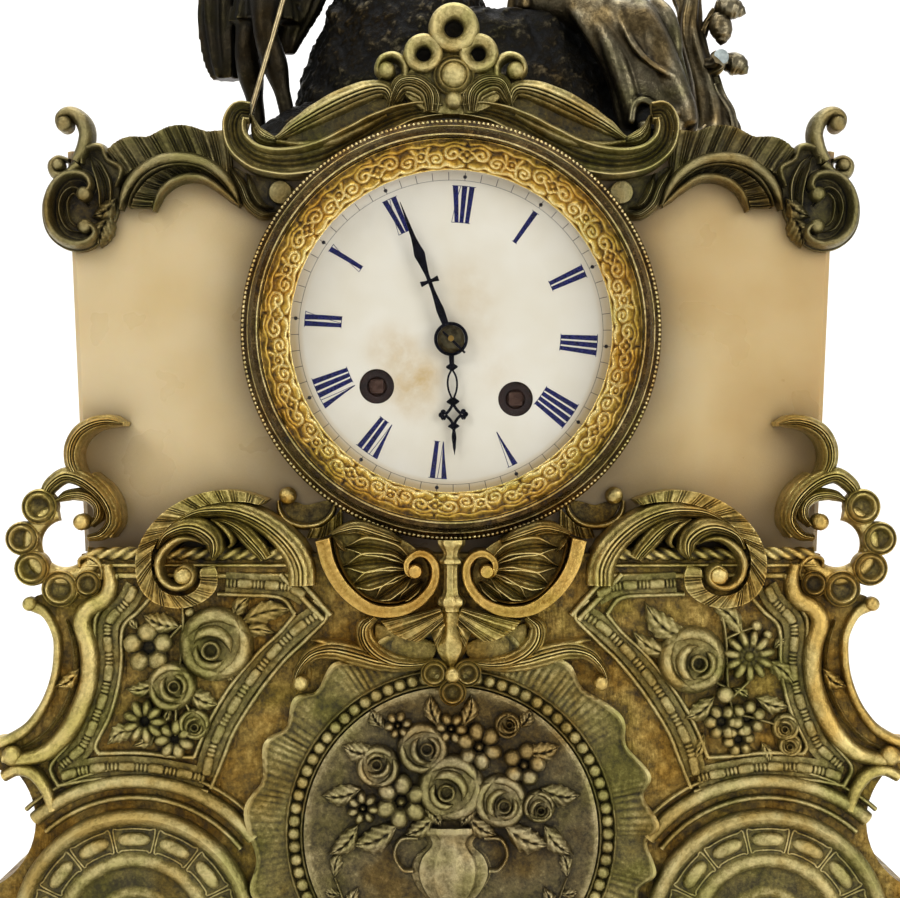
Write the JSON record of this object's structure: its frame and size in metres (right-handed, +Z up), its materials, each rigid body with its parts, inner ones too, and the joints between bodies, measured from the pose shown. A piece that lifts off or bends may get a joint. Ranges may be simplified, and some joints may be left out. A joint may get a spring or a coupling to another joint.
{
  "type": "figural clock",
  "caption": "Mantel clock with an alabaster body, gilt scroll mounts, round enamel dial, striking movement with pendulum, hinged bezel and rear door, and bronze figures on top.",
  "frame": {"origin": "middle of the plinth's underside", "axes": "+Z up, dial faces -Y, +X to the viewer's right"},
  "size_m": [0.304, 0.124, 0.4142],
  "materials": {
    "gilt_bronze": "antique gilding, worn in the hollows",
    "medal_bronze": "dark gilt, cast relief",
    "dark_bronze": "dark patina",
    "alabaster": "polished, translucent",
    "giltwood": "gilded moulding",
    "brass": "satin",
    "steel": "polished",
    "blued_steel": "dark blued",
    "enamel": "gloss enamel",
    "glass": "clear, domed",
    "bell_metal": "turned"
  },
  "bodies": {
    "case": {"plinth": "giltwood", "base_shell": "gilt_bronze", "base_back_plate": "brass", "medallion_plaque": "medal_bronze", "medallion_surround": "gilt_bronze", "roundel_left": "gilt_bronze", "roundel_right": "gilt_bronze", "flower_panel_left": "gilt_bronze", "flower_panel_right": "gilt_bronze", "shell_cartouche": "gilt_bronze", "acanthus_scroll_left": "gilt_bronze", "acanthus_scroll_right": "gilt_bronze", "side_loop_left": "gilt_bronze", "side_loop_right": "gilt_bronze", "alabaster_body": "alabaster", "cresting_left": "gilt_bronze", "cresting_right": "gilt_bronze", "crest_palmette": "gilt_bronze", "rock_mound": "dark_bronze", "standing_figure": "dark_bronze", "staff": "brass", "seated_figure": "dark_bronze", "vine_stump": "dark_bronze", "tie_rods": "steel", "bezel_seat": "brass", "rear_ring": "brass", "movement_straps": "brass", "case_fasteners": "steel", "dial": "enamel", "dial_plate": "brass", "front_plate": "brass", "back_plate": "brass", "plate_pillars": "brass", "bell": "bell_metal"},
    "bezel": {"front_bezel": "gilt_bronze", "bezel_glass": "glass", "sight_ring": "gilt_bronze"},
    "door": {"rear_door": "brass"},
    "minute_work": {"minute_hand": "blued_steel", "hand_collet": "brass", "cannon_pinion": "steel"},
    "minute_wheel_work": {"minute_wheel": "brass"},
    "hour_work": {"hour_hand": "blued_steel", "hour_wheel": "brass"},
    "third": {"third_wheel": "brass"},
    "centre": {"centre_wheel": "brass"},
    "intermediate": {"intermediate_wheel": "brass"},
    "barrel_going": {"going_barrel": "brass"},
    "escape": {"escape_wheel": "brass"},
    "winding_going": {"going_arbor": "steel"},
    "winding_strike": {"strike_arbor": "steel"},
    "warning": {"warning_wheel": "brass"},
    "pin": {"pin_wheel": "brass"},
    "second": {"strike_second_wheel": "brass"},
    "barrel_strike": {"strike_barrel": "brass"},
    "fly_vanes": {"fly": "brass"},
    "anchor": {"pallets": "steel"},
    "pendulum": {"pendulum_rod": "steel", "pendulum_bob": "brass"},
    "striker": {"hammer": "steel"}
  },
  "joints": [
    {"name": "bezel_hinge", "type": "hinge", "parent": "case", "child": "bezel", "pos_m": [0.0628, -0.0422, 0.24], "axis": [0, 0, 1], "range_deg": [0, 90]},
    {"name": "rear_door_hinge", "type": "hinge", "parent": "case", "child": "door", "pos_m": [-0.0614, 0.0469, 0.24], "axis": [0, 0, 1], "range_deg": [0, 100]},
    {"name": "minute_hand_turn", "type": "hinge", "parent": "case", "child": "minute_work", "pos_m": [0, -0.0431, 0.2377], "axis": [0, 1, 0], "continuous": true},
    {"name": "minute_wheel_turn", "type": "hinge", "parent": "case", "child": "minute_wheel_work", "pos_m": [0.00414, -0.0327, 0.24896], "axis": [0, 1, 0], "continuous": true},
    {"name": "hour_hand_turn", "type": "hinge", "parent": "case", "child": "hour_work", "pos_m": [0, -0.0415, 0.2377], "axis": [0, 1, 0], "continuous": true},
    {"name": "third_wheel_turn", "type": "hinge", "parent": "case", "child": "third", "pos_m": [0.00677, -0.016, 0.25005], "axis": [0, 1, 0], "continuous": true},
    {"name": "centre_wheel_turn", "type": "hinge", "parent": "case", "child": "centre", "pos_m": [0, -0.0043, 0.2377], "axis": [0, 1, 0], "continuous": true},
    {"name": "intermediate_wheel_turn", "type": "hinge", "parent": "case", "child": "intermediate", "pos_m": [-0.00186, -0.0073, 0.22161], "axis": [0, 1, 0], "continuous": true},
    {"name": "going_barrel_turn", "type": "hinge", "parent": "case", "child": "barrel_going", "pos_m": [0.02002, -0.012, 0.21931], "axis": [0, 1, 0], "continuous": true},
    {"name": "escape_wheel_turn", "type": "hinge", "parent": "case", "child": "escape", "pos_m": [0.00222, -0.0215, 0.2621], "axis": [0, 1, 0], "continuous": true},
    {"name": "going_winding", "type": "hinge", "parent": "case", "child": "winding_going", "pos_m": [0.02002, -0.0308, 0.21931], "axis": [0, 1, 0], "range_deg": [0, 1800]},
    {"name": "strike_winding", "type": "hinge", "parent": "case", "child": "winding_strike", "pos_m": [-0.02301, -0.0308, 0.22323], "axis": [0, 1, 0], "range_deg": [0, 1800]},
    {"name": "warning_wheel_turn", "type": "hinge", "parent": "case", "child": "warning", "pos_m": [-0.00824, -0.011, 0.26428], "axis": [0, 1, 0], "continuous": true},
    {"name": "pin_wheel_turn", "type": "hinge", "parent": "case", "child": "pin", "pos_m": [-0.01886, -0.016, 0.25819], "axis": [0, 1, 0], "continuous": true},
    {"name": "strike_second_turn", "type": "hinge", "parent": "case", "child": "second", "pos_m": [-0.01504, -0.0018, 0.24373], "axis": [0, 1, 0], "continuous": true},
    {"name": "strike_barrel_turn", "type": "hinge", "parent": "case", "child": "barrel_strike", "pos_m": [-0.02301, -0.0268, 0.22323], "axis": [0, 1, 0], "continuous": true},
    {"name": "fly_turn", "type": "hinge", "parent": "case", "child": "fly_vanes", "pos_m": [-0.015, -0.0268, 0.27109], "axis": [0, 1, 0], "continuous": true},
    {"name": "pendulum_swing", "type": "hinge", "parent": "case", "child": "pendulum", "pos_m": [0.00344, 0.0152, 0.27554], "axis": [0, 1, 0], "range_deg": [-4, 4]},
    {"name": "pallet_rock", "type": "hinge", "parent": "case", "child": "anchor", "pos_m": [0.00344, -0.0215, 0.27554], "axis": [0, 1, 0], "range_deg": [-4, 4]},
    {"name": "hammer_lift", "type": "hinge", "parent": "case", "child": "striker", "pos_m": [-0.03513, 0.0232, 0.24893], "axis": [0, -1, 0], "range_deg": [0, 14]}
  ],
  "couplings": [
    {"joint": "minute_wheel_turn", "follows": "minute_hand_turn", "ratio": -0.33333},
    {"joint": "hour_hand_turn", "follows": "minute_hand_turn", "ratio": 0.083333},
    {"joint": "centre_wheel_turn", "follows": "third_wheel_turn", "ratio": -0.1},
    {"joint": "intermediate_wheel_turn", "follows": "third_wheel_turn", "ratio": 0.0125},
    {"joint": "going_barrel_turn", "follows": "third_wheel_turn", "ratio": -0.0017857},
    {"joint": "escape_wheel_turn", "follows": "third_wheel_turn", "ratio": -10.5},
    {"joint": "pin_wheel_turn", "follows": "warning_wheel_turn", "ratio": -0.13333},
    {"joint": "strike_second_turn", "follows": "warning_wheel_turn", "ratio": 0.017778},
    {"joint": "strike_barrel_turn", "follows": "warning_wheel_turn", "ratio": -0.0025397},
    {"joint": "fly_turn", "follows": "warning_wheel_turn", "ratio": -7},
    {"joint": "pallet_rock", "follows": "pendulum_swing", "ratio": 1}
  ]
}
